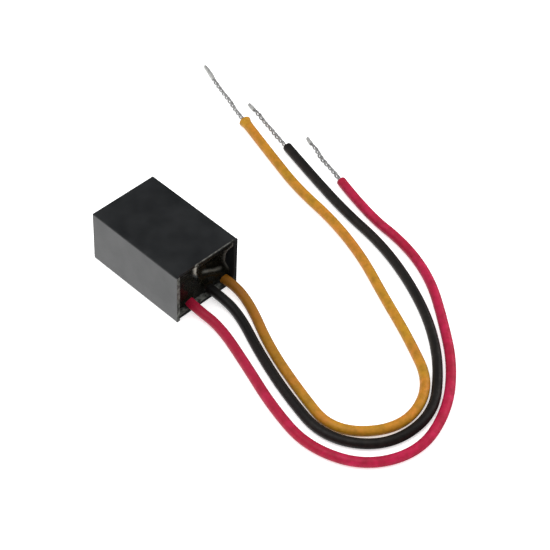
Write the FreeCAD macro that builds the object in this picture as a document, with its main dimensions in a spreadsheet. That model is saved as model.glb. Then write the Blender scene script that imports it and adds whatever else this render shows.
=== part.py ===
import FreeCAD, Part
import math
import os
import Sketcher
from FreeCAD import Placement, Rotation, Vector

# A potted surge protection module: a black moulded box, open at one end, filled with
# black resin.  A small circuit board with three varistors and two thermal fuses lies in
# the resin, and three flexible leads, red, black and yellow, come out of the open end.
#
# Frame: +Z up, the origin is the centre of the box's underside.  The open end faces -Y.

doc = FreeCAD.newDocument("surge_module")

# ---------------------------------------------------------------- driving dimensions, mm
SIZES = [
    ("case_length", 33.7, "along Y, closed end to open end"),
    ("case_width", 22.2, "along X"),
    ("case_height", 16.8, "along Z"),
    ("side_wall", 1.05, "moulded wall of the box"),
    ("end_wall", 1.3, "closed end of the box"),
    ("rim_setback", 0.6, "top and bottom walls stop short of the side walls"),
    ("edge_round", 0.3, "outer edges of the moulding"),
    ("fill_top", 16.2, "resin face from the middle of the box, at the top wall"),
    ("fill_bottom", 14.2, "resin face from the middle of the box, at the bottom wall"),
    ("dip_centre", 5.5, "X of the sink mark in the resin face"),
    ("dip_height", 9.8, "Z of the sink mark"),
    ("dip_radius", 9.0, "curvature of the sink mark"),
    ("dip_stand_off", 5.2, "centre of that curvature in front of the end plane"),
    ("jacket_diameter", 2.8, "PVC jacket of a lead"),
    ("core_diameter", 1.2, "stranded copper core of a lead"),
    ("bare_diameter", 1.1, "core twisted tight where it is stripped"),
    ("neck_length", 0.8, "strands draw together into the twist, and the solder thickens"),
    ("tip_diameter", 1.28, "end of the core that was dipped in solder"),
    ("tip_drop", 0.3, "solder past the ends of the strands"),
    ("board_width", 18.6, "circuit board along X"),
    ("board_front", -11.0, "Y of the board's front edge"),
    ("board_length", 26.0, "circuit board along Y"),
    ("board_bottom", 1.25, "Z of the board's underside"),
    ("board_thickness", 0.76, "glass laminate"),
    ("copper_thickness", 0.04, "tracks and pads"),
    ("track_width", 1.0, "copper track"),
    ("track_detour", 1.8, "red net outside the varistors' left legs"),
    ("pad_radius", 0.95, "round pad about a leg"),
    ("leg_diameter", 0.6, "tinned wire leg of a component"),
    ("leg_film", 0.06, "film between a varistor's silver face and its leg"),
    ("leg_below", 0.15, "leg and its joint below the board"),
    ("fillet_radius", 0.85, "foot of a solder joint"),
    ("fillet_tip", 0.4, "top of a solder joint"),
    ("fillet_height", 0.55, "height of a solder joint"),
    ("disc_diameter", 10.0, "zinc oxide disc of a varistor"),
    ("disc_thickness", 1.8, "zinc oxide disc"),
    ("electrode_diameter", 8.6, "fired silver face of the disc"),
    ("electrode_thickness", 0.1, "fired silver face"),
    ("coating_diameter", 11.6, "dipped epoxy over the disc"),
    ("coating_thickness", 4.8, "dipped epoxy over the disc"),
    ("coating_round", 1.5, "rounded rim of the dipped epoxy"),
    ("disc_height", 8.9, "Z of a varistor's centre"),
    ("leg_spread", 3.75, "a varistor's legs either side of its middle"),
    ("leg_reach", 1.5, "top of a varistor's leg above the disc's middle"),
    ("varistor_first", -2.4, "Y of the first varistor"),
    ("varistor_pitch", 6.4, "from one varistor to the next"),
    ("fuse_side", 7.7, "X of a thermal fuse either side of the middle"),
    ("fuse_middle", 3.5, "Y of a thermal fuse's middle"),
    ("fuse_height", 4.0, "Z of a thermal fuse's axis"),
    ("can_diameter", 1.8, "metal can of a thermal fuse"),
    ("can_length", 7.0, "metal can of a thermal fuse"),
    ("bead_length", 1.5, "epoxy seal at one end of the can"),
    ("bead_tip", 1.0, "small end of the epoxy seal"),
    ("sleeve_diameter", 2.5, "heat-shrink tube over a thermal fuse"),
    ("sleeve_length", 11.0, "heat-shrink tube over a thermal fuse"),
    ("fuse_reach", 8.0, "a fuse's legs either side of its middle"),
    ("joint_width", 2.4, "solder over the end of a lead's core, along X"),
    ("joint_length", 3.0, "solder over the end of a lead's core, along Y"),
    ("joint_height", 1.7, "solder over the end of a lead's core"),
    ("joint_side_slope", 0.4, "how far each long side of that solder leans in"),
    ("joint_end_slope", 0.5, "how far each end of that solder leans in"),
    ("joint_past_core", 0.4, "that solder beyond the end of the core"),
    ("core_into_board", 4.2, "bare core between the jacket and its soldered end"),
]
sheet = doc.addObject("Spreadsheet::Sheet", "sizes")
for row, (alias, value, meaning) in enumerate(SIZES, 1):
    sheet.set(f"A{row}", alias)
    sheet.set(f"B{row}", str(value))
    sheet.set(f"C{row}", meaning)
    sheet.setAlias(f"B{row}", alias)
doc.recompute()

LEAD_BEND_SHARE = 0.45  # share of the shorter run that an arc of a lead takes up
REST_HEIGHT = 1.42  # a lead's axis when it lies on the surface that the box stands on
EXIT_HEIGHT = 2.7  # a lead's axis where it crosses the bottom wall's edge

# Each lead's route from the end of its jacket inside the resin to its cut end outside.
LEADS = {
    "red": {
        "route": [
            (-4.7, -11.5, EXIT_HEIGHT),
            (-5.5, -18.0, EXIT_HEIGHT),
            (-4.5, -26.5, REST_HEIGHT),
            (-9.0, -41.0, REST_HEIGHT),
            (-14.0, -55.5, REST_HEIGHT),
            (-17.0, -71.0, REST_HEIGHT),
            (-11.0, -85.5, REST_HEIGHT),
            (3.0, -92.0, REST_HEIGHT),
            (18.5, -87.5, REST_HEIGHT),
            (31.0, -78.0, REST_HEIGHT),
            (40.5, -66.5, REST_HEIGHT),
            (50.0, -53.5, REST_HEIGHT),
            (55.0, -39.5, REST_HEIGHT),
            (56.0, -24.0, REST_HEIGHT),
            (60.5, -9.5, REST_HEIGHT),
        ],
        "bare": 19.5,
        "dipped": 2.5,
    },
    "black": {
        "route": [
            (2.1, -11.5, EXIT_HEIGHT),
            (2.5, -18.0, EXIT_HEIGHT),
            (2.5, -26.5, REST_HEIGHT),
            (-3.5, -40.5, REST_HEIGHT),
            (-8.5, -55.5, REST_HEIGHT),
            (-12.0, -72.0, REST_HEIGHT),
            (-2.5, -85.0, REST_HEIGHT),
            (14.0, -86.5, REST_HEIGHT),
            (27.5, -76.5, REST_HEIGHT),
            (37.5, -64.5, REST_HEIGHT),
            (45.0, -50.0, REST_HEIGHT),
            (50.0, -35.0, REST_HEIGHT),
            (52.0, -19.5, REST_HEIGHT),
            (55.5, -4.0, REST_HEIGHT),
            (59.5, 11.5, REST_HEIGHT),
        ],
        "bare": 20.5,
        "dipped": 2.0,
    },
    "yellow": {
        "route": [
            (7.3, -11.5, EXIT_HEIGHT),
            (8.3, -18.0, EXIT_HEIGHT),
            (7.0, -26.5, REST_HEIGHT),
            (0.0, -40.5, REST_HEIGHT),
            (-5.0, -56.0, REST_HEIGHT),
            (-9.0, -72.5, REST_HEIGHT),
            (5.0, -84.0, REST_HEIGHT),
            (21.0, -79.5, REST_HEIGHT),
            (29.5, -63.5, REST_HEIGHT),
            (35.5, -49.5, REST_HEIGHT),
            (42.5, -34.5, REST_HEIGHT),
            (47.0, -19.0, REST_HEIGHT),
            (49.0, -3.0, REST_HEIGHT),
            (53.5, 12.5, REST_HEIGHT),
            (58.2, 28.0, REST_HEIGHT),
        ],
        "bare": 27.0,
        "dipped": 9.0,
    },
}

sub_parts = {}


def size(alias):
    return float(sheet.get(alias))


def bind(item, **expressions):
    """Ties properties of an object to cells of the sheet; a double underscore is a dot."""
    for name, expression in expressions.items():
        item.setExpression(name.replace("__", "."), expression)
    return item


def add(kind, name, **expressions):
    return bind(doc.addObject(kind, name), **expressions)


def keep(item, label):
    """Marks an object as one real piece, whose label names its file."""
    item.Label = label
    sub_parts[label] = item
    return item


def cut(name, base, tool):
    item = doc.addObject("Part::Cut", name)
    item.Base = base
    item.Tool = tool
    return item


def cut_in_turn(name, base, tools):
    for number, tool in enumerate(tools):
        base = cut(f"{name}_{number}", base, tool)
    return base


def fuse(name, pieces):
    if len(pieces) == 1:
        return pieces[0]
    item = doc.addObject("Part::MultiFuse", name)
    item.Shapes = pieces
    item.Refine = True
    return item


def gather(name, pieces):
    item = doc.addObject("Part::Compound", name)
    item.Links = pieces
    return item


def plane_of(body, role):
    return next(f for f in body.Origin.OriginFeatures if f.Role == role)


def sketch_on(body, name, role, offset_expression):
    """An empty sketch on one of the body's own planes, moved along that plane's normal."""
    sketch = body.newObject("Sketcher::SketchObject", name)
    sketch.AttachmentSupport = [(plane_of(body, role), "")]
    sketch.MapMode = "FlatFace"
    sketch.setExpression("AttachmentOffset.Base.z", offset_expression)
    return sketch


def outline(sketch, corners):
    """A closed polygon whose corners are pairs of expressions, measured from the origin."""
    count = len(corners)
    turns = [2 * math.pi * n / count for n in range(count)]
    start = [Vector(math.cos(turn), math.sin(turn), 0) for turn in turns]
    for n in range(count):
        sketch.addGeometry(Part.LineSegment(start[n], start[(n + 1) % count]), False)
    for n in range(count):
        sketch.addConstraint(Sketcher.Constraint("Coincident", n, 2, (n + 1) % count, 1))
    for n, (across, up) in enumerate(corners):
        for kind, expression, value in (("DistanceX", across, start[n].x), ("DistanceY", up, start[n].y)):
            number = sketch.addConstraint(Sketcher.Constraint(kind, -1, 1, n, 1, value))
            sketch.setExpression(f"Constraints[{number}]", expression)


def rectangle(sketch, left, right, low, high):
    outline(sketch, [(left, low), (right, low), (right, high), (left, high)])


def feature(body, kind, name, sketch, length, backwards=False):
    item = body.newObject(f"PartDesign::{kind}", name)
    item.Profile = sketch
    item.Reversed = backwards
    item.setExpression("Length", length)
    sketch.Visibility = False
    return item


# ---------------------------------------------------------------- the box
def make_case_shell():
    """Injection-moulded box: five walls, open at -Y, side walls proud of the other two."""
    body = doc.addObject("PartDesign::Body", "case_body")
    half_width = "sizes.case_width / 2"
    inner_half = "(sizes.case_width / 2 - sizes.side_wall)"
    block = sketch_on(body, "block_outline", "XZ_Plane", "-sizes.case_length / 2")
    rectangle(block, f"-{half_width}", half_width, "0", "sizes.case_height")
    feature(body, "Pad", "block", block, "sizes.case_length")

    mouth = sketch_on(body, "mouth_outline", "XZ_Plane", "sizes.case_length / 2")
    rectangle(mouth, f"-{inner_half}", inner_half, "sizes.side_wall", "sizes.case_height - sizes.side_wall")
    feature(body, "Pocket", "hollow", mouth, "sizes.case_length - sizes.end_wall")

    rim = sketch_on(body, "rim_outline", "XZ_Plane", "sizes.case_length / 2")
    rectangle(rim, f"-{inner_half}", inner_half, "-sizes.side_wall", "sizes.case_height + sizes.side_wall")
    sharp = feature(body, "Pocket", "rim_step", rim, "sizes.rim_setback")
    doc.recompute()

    near = 0.01
    shortest = size("side_wall")
    long_edges = []
    for number, edge in enumerate(body.Shape.Edges, 1):
        box = edge.BoundBox
        outer_x = abs(abs(box.Center.x) - size("case_width") / 2) < near and box.XLength < near
        outer_z = abs(abs(box.Center.z - size("case_height") / 2) - size("case_height") / 2) < near
        at_back = abs(box.YMin - size("case_length") / 2) < near
        if (outer_x and outer_z and box.YLength > shortest) or (at_back and (outer_x or outer_z)):
            long_edges.append(f"Edge{number}")
    rounding = body.newObject("PartDesign::Fillet", "outer_rounds")
    rounding.Base = (sharp, long_edges)
    rounding.setExpression("Radius", "sizes.edge_round")
    return keep(body, "case_shell")


# ---------------------------------------------------------------- circuit board and copper
def leg_places():
    """(x, y) of every component leg: two to a varistor and two to a thermal fuse."""
    spread = size("leg_spread")
    offset = (size("disc_thickness") + size("leg_diameter")) / 2
    offset += size("electrode_thickness") + size("leg_film")
    places = []
    for number in range(3):
        middle = size("varistor_first") + number * size("varistor_pitch")
        places += [(-spread, middle - offset), (spread, middle + offset)]
    for side in (-1, 1):
        x = side * size("fuse_side")
        places += [(x, size("fuse_middle") + end * size("fuse_reach")) for end in (-1, 1)]
    return places


def stand_at(item, x, y, low):
    """Puts an upright primitive at (x, y), its foot at the height that an expression gives."""
    item.Placement.Base = Vector(x, y, 0)
    return bind(item, Placement__Base__z=low)


def round_post(name, x, y, low, height, radius):
    return stand_at(add("Part::Cylinder", name, Height=height, Radius=radius), x, y, low)


def make_leg_drills(places):
    """Round pins that stand where the legs go through the board, used only to cut with."""
    drills = [
        round_post(f"drill_{n}", x, y, "0", "sizes.case_height / 2", "sizes.leg_diameter / 2")
        for n, (x, y) in enumerate(places)
    ]
    return gather("leg_drills", drills)


def make_board(drills):
    body = doc.addObject("PartDesign::Body", "board_body")
    edge = sketch_on(body, "board_outline", "XY_Plane", "sizes.board_bottom")
    half = "sizes.board_width / 2"
    rectangle(edge, f"-{half}", half, "sizes.board_front", "sizes.board_front + sizes.board_length")
    feature(body, "Pad", "laminate", edge, "sizes.board_thickness")
    return keep(cut("drilled_board", body, drills), "circuit_board")


COPPER_BOTTOM = "sizes.board_bottom + sizes.board_thickness"
COPPER_TOP = "sizes.board_bottom + sizes.board_thickness + sizes.copper_thickness"


def track(name, start, end):
    """A straight copper track between two points of the board's top face."""
    along = Vector(end[0] - start[0], end[1] - start[1], 0)
    strip = add("Part::Box", name, Height="sizes.copper_thickness", Width="sizes.track_width")
    strip.Length = along.Length
    turn = Rotation(Vector(1, 0, 0), along)
    place = Vector(*start, 0) + turn.multVec(Vector(0, -size("track_width") / 2, 0))
    strip.Placement = Placement(place, turn)
    return bind(strip, Placement__Base__z=COPPER_BOTTOM)


def pad_under_core(colour, x, y):
    pad = add("Part::Box", f"{colour}_land", Length="sizes.joint_width", Width="sizes.joint_length",
              Height="sizes.copper_thickness")
    return stand_at(pad, x - size("joint_width") / 2, y - size("joint_length") / 2, COPPER_BOTTOM)


def make_copper(places, joints, drills):
    """Five nets: each lead to its fuse or varistors, and each fuse on to its varistors."""
    v1_left, v1_right, v2_left, v2_right, v3_left, v3_right = places[:6]
    red_in, red_out, yellow_in, yellow_out = places[6:]
    bypass = -size("leg_spread") - size("track_detour")
    nets = {
        "red_supply": ([joints["red"], red_in], [red_in]),
        "yellow_supply": ([joints["yellow"], yellow_in], [yellow_in]),
        "red_net": (
            [red_out, v3_left, (bypass, v3_left[1]), (bypass, v1_left[1]), v1_left],
            [red_out, v3_left, v1_left],
        ),
        "yellow_net": ([yellow_out, v3_right, v2_right], [yellow_out, v3_right, v2_right]),
        "common_net": (
            [joints["black"], (joints["black"][0], v1_right[1]), v1_right, v2_left],
            [v1_right, v2_left],
        ),
    }
    finished = []
    for net, (corners, rounds) in nets.items():
        pieces = [track(f"{net}_{n}", a, b) for n, (a, b) in enumerate(zip(corners, corners[1:]))]
        for n, (x, y) in enumerate(rounds):
            post = f"{net}_round_{n}"
            pieces.append(round_post(post, x, y, COPPER_BOTTOM, "sizes.copper_thickness", "sizes.pad_radius"))
        for colour, (x, y) in joints.items():
            if (x, y) in corners:
                pieces.append(pad_under_core(colour, x, y))
        finished.append(fuse(net, pieces))
    return keep(cut("drilled_copper", gather("copper_nets", finished), drills), "copper_tracks")


def make_leg_joints(places, drills):
    """A cone of solder round each leg where it comes through its pad."""
    cones = []
    for n, (x, y) in enumerate(places):
        cone = add("Part::Cone", f"leg_cone_{n}", Radius1="sizes.fillet_radius", Radius2="sizes.fillet_tip",
                   Height="sizes.fillet_height")
        cones.append(stand_at(cone, x, y, COPPER_TOP))
    return keep(cut("leg_joints", gather("leg_cones", cones), drills), "component_solder_joints")


# ---------------------------------------------------------------- varistors
def disc(name, middle, radius, thickness, shift="0"):
    """A round disc that stands on edge: its axis runs along Y, centred on the given Y."""
    round_plate = add("Part::Cylinder", name, Radius=radius, Height=thickness)
    round_plate.Placement = Placement(Vector(0, 0, 0), Rotation(Vector(1, 0, 0), 90))
    return bind(round_plate, Placement__Base__y=f"{middle} + {shift} + ({thickness}) / 2",
                Placement__Base__z="sizes.disc_height")


def make_varistor(number, places):
    """Zinc oxide disc, fired silver faces, two tinned legs and a dipped epoxy coat."""
    name = f"varistor_{number + 1}"
    middle = f"(sizes.varistor_first + {number} * sizes.varistor_pitch)"
    ceramic = disc(f"{name}_blank", middle, "sizes.disc_diameter / 2", "sizes.disc_thickness")
    face_shift = "(sizes.disc_thickness + sizes.electrode_thickness) / 2"
    faces = [
        disc(f"{name}_face_{side}", middle, "sizes.electrode_diameter / 2", "sizes.electrode_thickness",
             f"({sign} * {face_shift})")
        for side, sign in (("front", -1), ("back", 1))
    ]
    legs = [
        round_post(f"{name}_leg_{n}", x, y, "sizes.board_bottom - sizes.leg_below",
                   "sizes.disc_height + sizes.leg_reach - sizes.board_bottom + sizes.leg_below",
                   "sizes.leg_diameter / 2")
        for n, (x, y) in enumerate(places)
    ]
    coat = disc(f"{name}_coat", middle, "sizes.coating_diameter / 2", "sizes.coating_thickness")
    rounded = doc.addObject("Part::Fillet", f"{name}_rounded")
    rounded.Base = coat
    doc.recompute()
    rims = [n for n, edge in enumerate(coat.Shape.Edges, 1) if edge.Closed and len(edge.Vertexes) == 1]
    rounded.Edges = [(n, size("coating_round"), size("coating_round")) for n in rims]
    keep(ceramic, f"{name}_disc")
    face_pair = keep(gather(f"{name}_faces", faces), f"{name}_electrodes")
    leg_pair = keep(gather(f"{name}_legs_pair", legs), f"{name}_legs")
    keep(cut_in_turn(f"{name}_epoxy", rounded, [ceramic, face_pair, leg_pair]), f"{name}_coating")


# ---------------------------------------------------------------- wires and leads
def run_and_arc_wire(points, before):
    """Straight runs joined by tangent arcs; the start may reach back in a straight line."""
    points = [Vector(*point) for point in points]
    edges = []
    radii = []
    here = points[0] - (points[1] - points[0]).normalize() * before
    for last, corner, following in zip(points, points[1:], points[2:]):
        back = last - corner
        on = following - corner
        reach = LEAD_BEND_SHARE * min(back.Length, on.Length)
        half_turn = (math.pi - back.getAngle(on)) / 2
        radius = reach / math.tan(half_turn)
        back.normalize()
        on.normalize()
        inward = (back + on).normalize()
        arc_start = corner + back * reach
        arc_middle = corner + inward * (radius / math.cos(half_turn) - radius)
        arc_end = corner + on * reach
        edges.append(Part.LineSegment(here, arc_start).toShape())
        edges.append(Part.Arc(arc_start, arc_middle, arc_end).toShape())
        radii.append(radius)
        here = arc_end
    edges.append(Part.LineSegment(here, points[-1]).toShape())
    return Part.Wire(edges), radii


def route_feature(name, points, before=0.0):
    wire, radii = run_and_arc_wire(points, before)
    item = doc.addObject("Part::Feature", name)
    item.Shape = wire
    return item, radii


def swept_rod(name, route, radius):
    """A round rod along a route, swept from a circle square to the route's start."""
    ring = add("Part::Circle", f"{name}_section", Radius=radius)
    first = route.Shape.Edges[0]
    start = first.valueAt(first.FirstParameter)
    ring.Placement = Placement(start, Rotation(Vector(0, 0, 1), first.tangentAt(first.FirstParameter)))
    rod = doc.addObject("Part::Sweep", name)
    rod.Sections = [ring]
    rod.Spine = (route, [])
    rod.Solid = True
    rod.Frenet = False
    return rod


def rod_between(name, start, direction, length, radius):
    rod = add("Part::Cylinder", name, Height=length, Radius=radius)
    rod.Placement = Placement(start, Rotation(Vector(0, 0, 1), direction))
    return rod


def neck_between(name, start, direction, length, radius, end_radius):
    neck = add("Part::Cone", name, Height=length, Radius1=radius, Radius2=end_radius)
    neck.Placement = Placement(start, Rotation(Vector(0, 0, 1), direction))
    return neck


def lead_end(points, at_start):
    """The first or last point of a route, and the direction that leaves the route there."""
    end, neighbour = (points[0], points[1]) if at_start else (points[-1], points[-2])
    end = Vector(*end)
    return end, (end - Vector(*neighbour)).normalize()


def joint_place(colour):
    """(x, y) of the middle of the solder that holds a lead's core to the board."""
    end, inward = lead_end(LEADS[colour]["route"], True)
    middle = end + inward * (size("core_into_board") + size("joint_past_core") - size("joint_length") / 2)
    return round(middle.x, 2), round(middle.y, 2)


def make_lead(colour, joints):
    """PVC jacket, copper core from the board to the stripped tail, and the dipped tip."""
    lead = LEADS[colour]
    jacket_route, radii = route_feature(f"{colour}_jacket_route", lead["route"])
    core_route, _ = route_feature(f"{colour}_core_route", lead["route"], size("core_into_board"))
    outside = swept_rod(f"{colour}_outside", jacket_route, "sizes.jacket_diameter / 2")
    inside = swept_rod(f"{colour}_inside", core_route, "sizes.core_diameter / 2")
    jacket = cut(f"{colour}_tube", outside, inside)

    end, outward = lead_end(lead["route"], False)
    neck_length = size("neck_length")
    twisted = lead["bare"] - lead["dipped"]
    twist = end + outward * neck_length
    dipped = end + outward * twisted
    gather = neck_between(f"{colour}_gather", end, outward, "sizes.neck_length",
                          "sizes.core_diameter / 2", "sizes.bare_diameter / 2")
    tail = rod_between(f"{colour}_tail", twist, outward, f"{twisted} - sizes.neck_length",
                       "sizes.bare_diameter / 2")
    core = fuse(f"{colour}_core", [inside, gather, tail])
    shoulder = neck_between(f"{colour}_shoulder", dipped, outward, "sizes.neck_length",
                            "sizes.bare_diameter / 2", "sizes.tip_diameter / 2")
    drop = rod_between(f"{colour}_drop", dipped + outward * neck_length, outward,
                       f"{lead['dipped']} + sizes.tip_drop - sizes.neck_length", "sizes.tip_diameter / 2")
    dip = fuse(f"{colour}_dip", [shoulder, drop])

    x, y = joints[colour]
    blob = add("Part::Wedge", f"{colour}_blob")
    for name, value in {
        "Xmin": "0", "Xmax": "sizes.joint_width",
        "Ymin": "0", "Ymax": "sizes.joint_height",
        "Zmin": "0", "Zmax": "sizes.joint_length",
        "X2min": "sizes.joint_side_slope", "X2max": "sizes.joint_width - sizes.joint_side_slope",
        "Z2min": "sizes.joint_end_slope", "Z2max": "sizes.joint_length - sizes.joint_end_slope",
    }.items():
        blob.setExpression(name, value)
    blob.Placement = Placement(Vector(x - size("joint_width") / 2, y + size("joint_length") / 2, 0),
                               Rotation(Vector(1, 0, 0), 90))
    bind(blob, Placement__Base__z=COPPER_TOP)

    keep(jacket, f"{colour}_lead_jacket")
    keep(core, f"{colour}_lead_core")
    keep(dip, f"{colour}_lead_solder_tip")
    keep(cut(f"{colour}_joint", blob, core), f"{colour}_lead_solder_joint")

    doc.recompute()
    section = math.pi * (size("jacket_diameter") ** 2 - size("core_diameter") ** 2) / 4
    expected = section * jacket_route.Shape.Length
    print(f"{colour} lead: route {jacket_route.Shape.Length:.1f} mm, arc radii",
          [round(radius, 1) for radius in radii],
          f"volume {jacket.Shape.Volume:.2f} of {expected:.2f} mm3")


# ---------------------------------------------------------------- thermal fuses
def make_thermal_fuse(number, side):
    """One-shot axial fuse: metal can, epoxy bead, two bent legs, heat-shrink sleeve."""
    name = f"thermal_fuse_{number}"
    x = side * size("fuse_side")
    middle = size("fuse_middle")
    height = size("fuse_height")
    half_can = size("can_length") / 2
    reach = size("fuse_reach")
    low = size("board_bottom") - size("leg_below")
    forwards = Vector(0, 1, 0)
    can = rod_between(f"{name}_body", Vector(x, middle - half_can, height), forwards, "sizes.can_length",
                      "sizes.can_diameter / 2")
    bead = neck_between(f"{name}_seal", Vector(x, middle + half_can, height), forwards, "sizes.bead_length",
                        "sizes.can_diameter / 2", "sizes.bead_tip / 2")

    legs = []
    for end in (-1, 1):
        corner = (x, middle + end * reach, height)
        points = [(x, middle + end * half_can, height), corner, (x, middle + end * reach, low)]
        route, _ = route_feature(f"{name}_leg_route_{end + 1}", points)
        legs.append(swept_rod(f"{name}_leg_{end + 1}", route, "sizes.leg_diameter / 2"))
    leg_pair = gather(f"{name}_leg_pair", legs)
    sealed = cut(f"{name}_bead", bead, legs[1])

    tube = rod_between(f"{name}_tube", Vector(x, middle - size("sleeve_length") / 2, height), forwards,
                       "sizes.sleeve_length", "sizes.sleeve_diameter / 2")
    keep(can, f"{name}_can")
    keep(sealed, f"{name}_epoxy_seal")
    keep(leg_pair, f"{name}_legs")
    keep(cut_in_turn(f"{name}_shrunk", tube, [can, sealed, leg_pair]), f"{name}_sleeve")


# ---------------------------------------------------------------- resin
def make_resin():
    """Poured resin: it fills the box about everything in it, with a sink mark in its face."""
    body = doc.addObject("PartDesign::Body", "resin_body")
    inner_half = "(sizes.case_width / 2 - sizes.side_wall)"
    side = sketch_on(body, "fill_outline", "YZ_Plane", f"-{inner_half}")
    back = "sizes.case_length / 2 - sizes.end_wall"
    low = "sizes.side_wall"
    high = "sizes.case_height - sizes.side_wall"
    outline(side, [("-sizes.fill_bottom", low), (back, low), (back, high), ("-sizes.fill_top", high)])
    feature(body, "Pad", "fill", side, f"2 * {inner_half}")

    dip = add("Part::Sphere", "sink_mark", Radius="sizes.dip_radius", Placement__Base__x="sizes.dip_centre",
              Placement__Base__y="-sizes.case_length / 2 - sizes.dip_stand_off",
              Placement__Base__z="sizes.dip_height")
    buried = [piece for label, piece in sub_parts.items() if label != "case_shell" and "tip" not in label]
    dished = cut("dished_fill", body, dip)
    return keep(cut("filled_resin", dished, gather("buried_parts", buried)), "potting_resin")


# ---------------------------------------------------------------- put together
make_case_shell()
legs = leg_places()
joints = {colour: joint_place(colour) for colour in LEADS}
drills = make_leg_drills(legs)
make_board(drills)
make_copper(legs, joints, drills)
make_leg_joints(legs, drills)
for number in range(3):
    make_varistor(number, legs[2 * number:2 * number + 2])
for number, side in ((1, -1), (2, 1)):
    make_thermal_fuse(number, side)
for colour in LEADS:
    make_lead(colour, joints)
make_resin()
doc.recompute()

faults = [item.Name for item in doc.Objects if {"Invalid", "Error"} & set(item.State)]
if faults:
    raise RuntimeError(f"these objects failed: {faults}")
for label, piece in sub_parts.items():
    if piece.Shape.isNull() or not piece.Shape.isValid() or not piece.Shape.Solids:
        raise RuntimeError(f"{label} has no valid solid")

os.makedirs("parts", exist_ok=True)
for label, piece in sub_parts.items():
    piece.Shape.exportStep(f"parts/{label}.step")
    box = piece.Shape.BoundBox
    print(f"{label}: {len(piece.Shape.Solids)} solids, {piece.Shape.Volume:.2f} mm3,",
          f"x {box.XMin:.2f} {box.XMax:.2f}, y {box.YMin:.2f} {box.YMax:.2f},",
          f"z {box.ZMin:.2f} {box.ZMax:.2f}")
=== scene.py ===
import math

import bmesh
import bpy
from mathutils import Matrix, Vector


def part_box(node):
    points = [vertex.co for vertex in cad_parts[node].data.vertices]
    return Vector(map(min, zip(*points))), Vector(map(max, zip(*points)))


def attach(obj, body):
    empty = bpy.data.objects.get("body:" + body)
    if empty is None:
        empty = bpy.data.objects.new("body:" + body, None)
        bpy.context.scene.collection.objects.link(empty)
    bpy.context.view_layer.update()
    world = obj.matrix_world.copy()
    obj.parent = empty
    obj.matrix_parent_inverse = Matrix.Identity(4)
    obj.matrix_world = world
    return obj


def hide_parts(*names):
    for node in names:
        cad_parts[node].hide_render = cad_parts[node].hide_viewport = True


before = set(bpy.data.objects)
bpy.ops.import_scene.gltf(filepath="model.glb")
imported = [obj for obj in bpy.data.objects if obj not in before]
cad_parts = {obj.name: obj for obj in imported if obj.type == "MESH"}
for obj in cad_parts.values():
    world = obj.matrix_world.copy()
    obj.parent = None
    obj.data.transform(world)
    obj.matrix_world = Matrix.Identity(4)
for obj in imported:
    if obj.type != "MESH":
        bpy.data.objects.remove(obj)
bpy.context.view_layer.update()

# ---------------------------------------------------------------- the box
# The box is one injection moulding in black ABS: five walls round a cavity that is open at
# the front, where the two side walls stand a little proud of the floor and the lid.
# Its rims and the floor just inside the mouth are painted paler than the moulded skin, a painted
# highlight for the light they catch.
MM = 0.001
SIDE_WALL = 1.05 * MM
END_WALL = 1.3 * MM
RIM_STEP = 0.6 * MM
OUTER_ROUND = 0.3 * MM
RIM_ROUND = 0.09 * MM
NEAR = 0.01 * MM
# The lid's rim gets a painted highlight: a streak across it here, and a band this tall along its
# top.
STREAK_EDGE = -4.1 * MM
STREAK_WIDTH = 1.3 * MM
LID_HIGHLIGHT_BAND = 0.5 * MM
SHARP_TURN = 1.0
# How far the painted highlight on the rims and the floor reaches into the mouth, and how strongly it
# is painted on each place.
PAINTED_LIGHT_DEPTH = 3.2 * MM
NEAR_RIM_HIGHLIGHT = 0.65
LID_RIM_HIGHLIGHT = 0.8
FLOOR_PAINTED_LIGHT = 0.9


def linear(colour):
    """An sRGB hex colour as linear light, with an alpha of one."""
    parts = [int(colour[n:n + 2], 16) / 255 for n in (1, 3, 5)]
    return [c / 12.92 if c <= 0.04045 else ((c + 0.055) / 1.055) ** 2.4 for c in parts] + [1.0]


def new_material(name):
    material = bpy.data.materials.new(name)
    material.use_nodes = True
    material.node_tree.nodes.clear()
    return material


def add_node(owner, kind, settings, links):
    """A node: settings are its properties or its sockets' values, and links fill its sockets."""
    made = owner.node_tree.nodes.new(kind)
    for name, value in settings.items():
        if isinstance(name, str) and hasattr(made, name):
            setattr(made, name, value)
        else:
            made.inputs[name].default_value = value
    for name, source in links.items():
        owner.node_tree.links.new(source, made.inputs[name])
    return made


def surface(material, colour, gloss, height, millimetres, settings):
    """The shader and output of a material: its colour, roughness and how deep its relief is."""
    relief = add_node(material, "ShaderNodeBump", {"Strength": 1.0, "Distance": millimetres * MM},
                      {"Height": height})
    shader = add_node(material, "ShaderNodeBsdfPrincipled", settings,
                      {"Base Color": colour, "Roughness": gloss,
                       "Normal": relief.outputs["Normal"]})
    add_node(material, "ShaderNodeOutputMaterial", {}, {"Surface": shader.outputs["BSDF"]})
    return material


def make_piece(name, mesh, material, slot, *replaced):
    """A finished mesh as a piece that rides on the one body and stands for CAD nodes."""
    mesh.materials.clear()
    mesh.materials.append(material)
    piece = bpy.data.objects.new(name, mesh)
    bpy.context.collection.objects.link(piece)
    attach(piece, "root")
    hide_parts(*replaced)
    return piece


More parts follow.
